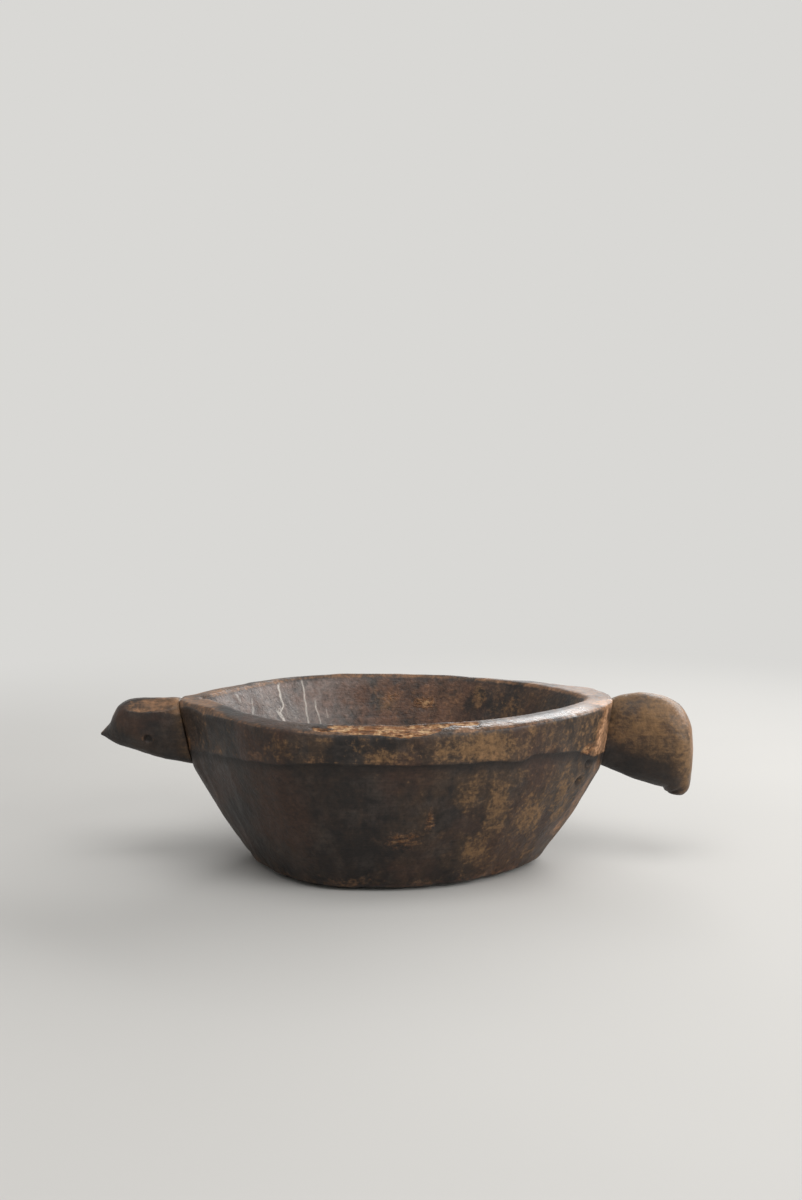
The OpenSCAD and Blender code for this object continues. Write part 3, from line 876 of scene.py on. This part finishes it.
def old_wood(name, mottle):
    """Dark oiled hardwood: a sooty skin with grey and reddish clouds, bare ochre spots, rubbed edges and raw
    breaks, with painted shade, a grey film in the hollow that is dust and a painted sheen, and painted
    highlights on scratches and rubbed edges. mottle is the strength of its fine specks."""
    wood = Nodes(bpy.data.materials.new(name))
    place = wood.node("TexCoord", out="Object")
    rubbed_and_lit, polish, raw, worn = (wood.mark(name) for name in ("rubbed_and_lit", "polish", "raw", "worn"))
    painted_shade, hollow, scratch, pale = (wood.mark(name) for name in ("painted_shade", "hollow", "scratch", "pale"))

    clouds = wood.noise(place, 24, 4, 0.6, 0.5)
    bloom = wood.noise(place, 61, 5, 0.65, 0.3)
    blotches = wood.noise(place, 105, 5, 0.62, 0.3)
    specks = wood.noise(place, 420, 3, 0.65)
    streaks = wood.noise(wood.stretched(place, (110, 110, 14)), 1, 4, 0.6, 0.4)
    grain = wood.noise(wood.stretched(place, (16, 340, 340)), 1, 4, 0.6, 0.8)
    pores = wood.noise(wood.stretched(place, (60, 1500, 1500)), 1, 2, 0.5)
    crumbs = wood.noise(place, 230, 3, 0.6)

    tone = 0.45 * clouds + 0.3 * blotches + 0.25 * streaks
    colour = wood.mix(wood.between(tone, 0.42, 0.58), SOOT_AND_SHADE, UMBER)
    colour = wood.mix(wood.between(bloom, 0.46, 0.66) * 0.5, colour, GREY_BROWN)
    colour = wood.mix(wood.between(wood.noise(place, 19, 4), 0.48, 0.66) * 0.5, colour, REDDISH)
    thin = wood.between(worn + 0.8 * clouds + 0.6 * streaks + 0.4 * blotches, 1.05, 1.6)
    colour = wood.mix(thin * 0.7, colour, DARK_OCHRE)
    bare = worn + 0.7 * mottle * (specks + crumbs - 1) + 0.6 * blotches + 0.6 * streaks + 0.3 * grain
    bare = wood.between(bare, 1.1, 1.55)
    colour = wood.mix(bare * 0.6, colour, OCHRE)

    across = wood.node("SeparateXYZ", {}, {0: place})
    warm = hollow * wood.between(across, 0.115, 0.03) * wood.between(clouds + blotches, 0.75, 1.2)
    colour = wood.mix(warm * 0.5, colour, HOLLOW_BROWN)
    # A grey film over the hollow's left end: dust, and partly a painted reflection of light from the right.
    dust_and_sheen = hollow * wood.between(across, 0.0, -0.07)
    colour = wood.mix(dust_and_sheen * wood.between(bloom, 0.25, 0.6) * 0.6, colour, ASH_AND_SHEEN)
    # Painted highlights along the scratches.
    line = wood.between(wood.math("ABSOLUTE", scratch) + 1.6 * (specks - 0.5), 0.85, 0.25) * pale
    colour = wood.mix(line * 0.85, colour, SCRATCH_GLINT)

    edge = wood.between(rubbed_and_lit + 0.6 * blotches + 0.5 * specks + 0.3 * grain, 0.95, 1.55)
    colour = wood.mix(edge * 0.8, colour, RUBBED_TAN)
    # Palest wear on the near right arris: wear, and partly a painted highlight.
    bright = wood.between(rubbed_and_lit + 0.7 * (specks - 0.5) + 0.6 * (blotches - 0.5), 0.76, 1.02)
    colour = wood.mix(bright * 0.8, colour, PALE_WEAR_AND_HIGHLIGHT)
    fibres = wood.noise(wood.stretched(place, (110, 430, 430)), 1, 4, 0.7, 0.2)
    broken = wood.mix(wood.between(fibres, 0.38, 0.54), BREAK_SHADOW, BREAK_BROWN)
    broken = wood.mix(raw * wood.between(0.5 * fibres + 0.5 * crumbs, 0.47, 0.6), broken, RAW_WOOD)
    torn = wood.between(raw + 0.6 * (specks + fibres - 1), 0.15, 0.75)
    colour = wood.mix(torn, colour, broken)
    # Painted shade, in the wood's darkest colour.
    colour = wood.mix(painted_shade * 0.75, colour, SOOT_AND_SHADE)
    shade = mottle * (1.7 * specks + crumbs - 1.35) + 0.9 * grain + 0.4 * pores + 0.35
    shade = wood.node("CombineColor", {}, {0: shade, 1: shade, 2: shade})
    colour = wood.mix(1.0, colour, shade, "MULTIPLY")

    roughness = 0.5 + 0.06 * bare - 0.06 * edge - 0.22 * polish - 0.12 * hollow + 0.4 * torn + 0.1 * painted_shade
    roughness = roughness + 0.3 * (specks - 0.5) + 0.25 * (blotches - 0.5)
    height = (0.2 * grain + 0.15 * pores + 0.5 * specks + 0.5 * crumbs + 0.4 * blotches) * (1 - 0.6 * edge)
    height = height + torn * (fibres + crumbs)
    return wood.show(wood.surface(colour, roughness, wood.bump(height, *WOOD_BUMP), WOOD_SHEEN))


def peg_wood():
    """Clean cut pegs, hidden in their holes."""
    wood = Nodes(bpy.data.materials.new("cut_peg_wood"))
    grain = wood.noise(wood.stretched(wood.node("TexCoord", out="Object"), (20, 500, 500)))
    colour = wood.mix(wood.between(grain, 0.35, 0.65), PEG_DARK, PEG_LIGHT)
    return wood.show(wood.surface(colour, 0.6 + 0.2 * (grain - 0.5), wood.bump(grain, 0.3, 0.0003), 0.4))


# Studio

# Half the floor's width, and the distances over which it fades into the backdrop, in metres
FLOOR_REACH = 12.0
FLOOR_FADE = 0.35, 1.1
AIR_STRENGTH = 0.3
# The photo's view, found by fitting its outlines: the camera's place in metres, its turn from straight down
# in degrees, and its lens on a sensor of this height in millimetres
CAMERA_PLACE = (0.0035, -0.986, 0.284)
CAMERA_TURN = 84
CAMERA_LENS = 43.5
SENSOR_HEIGHT = 36
# Lamps: name, place, aim, width and height in metres, and watts
LAMPS = (
    ("back_right_light", (1.04, 1.15, 0.98), (0, 0, 0.08), 2.6, 0.8, 30),
    ("right_light", (1.5, -1.0, 0.85), (0, 0, 0.08), 1.2, 1.0, 16),
    ("top_light", (0.1, -0.6, 1.6), (0, 0, 0.06), 1.4, 1.2, 12),
)


def studio_floor():
    """A wide pale floor that fades into the backdrop's colour far from the scoop. It isn't part of it."""
    r = FLOOR_REACH
    mesh = bpy.data.meshes.new("studio_floor")
    mesh.from_pydata([(-r, -r, 0), (r, -r, 0), (r, r, 0), (-r, r, 0)], [], [(0, 1, 2, 3)])
    floor = bpy.data.objects.new("studio_floor", mesh)
    bpy.context.scene.collection.objects.link(floor)
    paper = Nodes(bpy.data.materials.new("floor_paper"))
    place = paper.node("TexCoord", out="Object")
    flecks = paper.noise(place, 3, 2)
    colour = paper.mix(flecks, PAPER_DARK, PAPER_LIGHT)
    surface = paper.surface(colour, 0.85 + 0.1 * flecks, paper.bump(flecks, 0.02, 0.001), 0.2)
    glow = paper.node("Emission", {}, {"Color": BACKDROP, "Strength": 1.0})
    away = paper.node("VectorMath", {"operation": "LENGTH"}, {0: place}, out="Value")
    far = paper.between(away, *FLOOR_FADE) * paper.seen()
    mesh.materials.append(paper.show(paper.node("MixShader", {}, {0: far, 1: surface, 2: glow})))


def studio_air():
    """Even light from all round. The camera sees the backdrop's colour in its place."""
    air = Nodes(bpy.data.worlds.new("studio_air"))
    soft = air.node("Background", {}, {"Color": (1, 1, 1, 1), "Strength": AIR_STRENGTH})
    backdrop = air.node("Background", {}, {"Color": BACKDROP, "Strength": 1.0})
    air.node("OutputWorld", {}, {"Surface": air.node("MixShader", {}, {0: air.seen(), 1: soft, 2: backdrop})})
    bpy.context.scene.world = air.owner


def soft_light(name, place, aim, width, height, watts):
    lamp = bpy.data.lights.new(name, "AREA")
    lamp.shape = "RECTANGLE"
    lamp.size = width
    lamp.size_y = height
    lamp.energy = watts
    holder = bpy.data.objects.new(name, lamp)
    holder.location = place
    x, y, z = (a - p for a, p in zip(aim, place))
    holder.rotation_euler = (math.atan2(math.hypot(x, y), -z), 0, math.atan2(y, x) - math.pi / 2)
    holder.visible_camera = False
    bpy.context.scene.collection.objects.link(holder)


def photo_camera():
    lens = bpy.data.cameras.new("camera")
    lens.sensor_fit = "VERTICAL"
    lens.sensor_height = SENSOR_HEIGHT
    lens.lens = CAMERA_LENS
    camera = bpy.data.objects.new("camera", lens)
    camera.location = CAMERA_PLACE
    camera.rotation_euler = (math.radians(CAMERA_TURN), 0, 0)
    bpy.context.scene.collection.objects.link(camera)
    bpy.context.scene.camera = camera


bpy.context.scene.view_settings.view_transform = "Standard"
photo_camera()
studio_floor()
studio_air()
for lamp in LAMPS:
    soft_light(*lamp)

finishes = {
    "bowl_wood": old_wood("old_bowl_wood", BOWL_MOTTLE),
    "head_wood": old_wood("old_head_wood", HEAD_MOTTLE),
}
for piece, node, slot in (
    (carve_bowl(), "bowl", "bowl_wood"),
    (carve_left_head(), "left_head", "head_wood"),
    (carve_right_head(), "right_head", "head_wood"),
):
    piece.data.materials.append(finishes[slot])
    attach(piece, "root")
    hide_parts(node)

hidden_pegs = peg_wood()
for name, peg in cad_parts.items():
    if name.endswith("_peg"):
        peg.data.materials.clear()
        peg.data.materials.append(hidden_pegs)
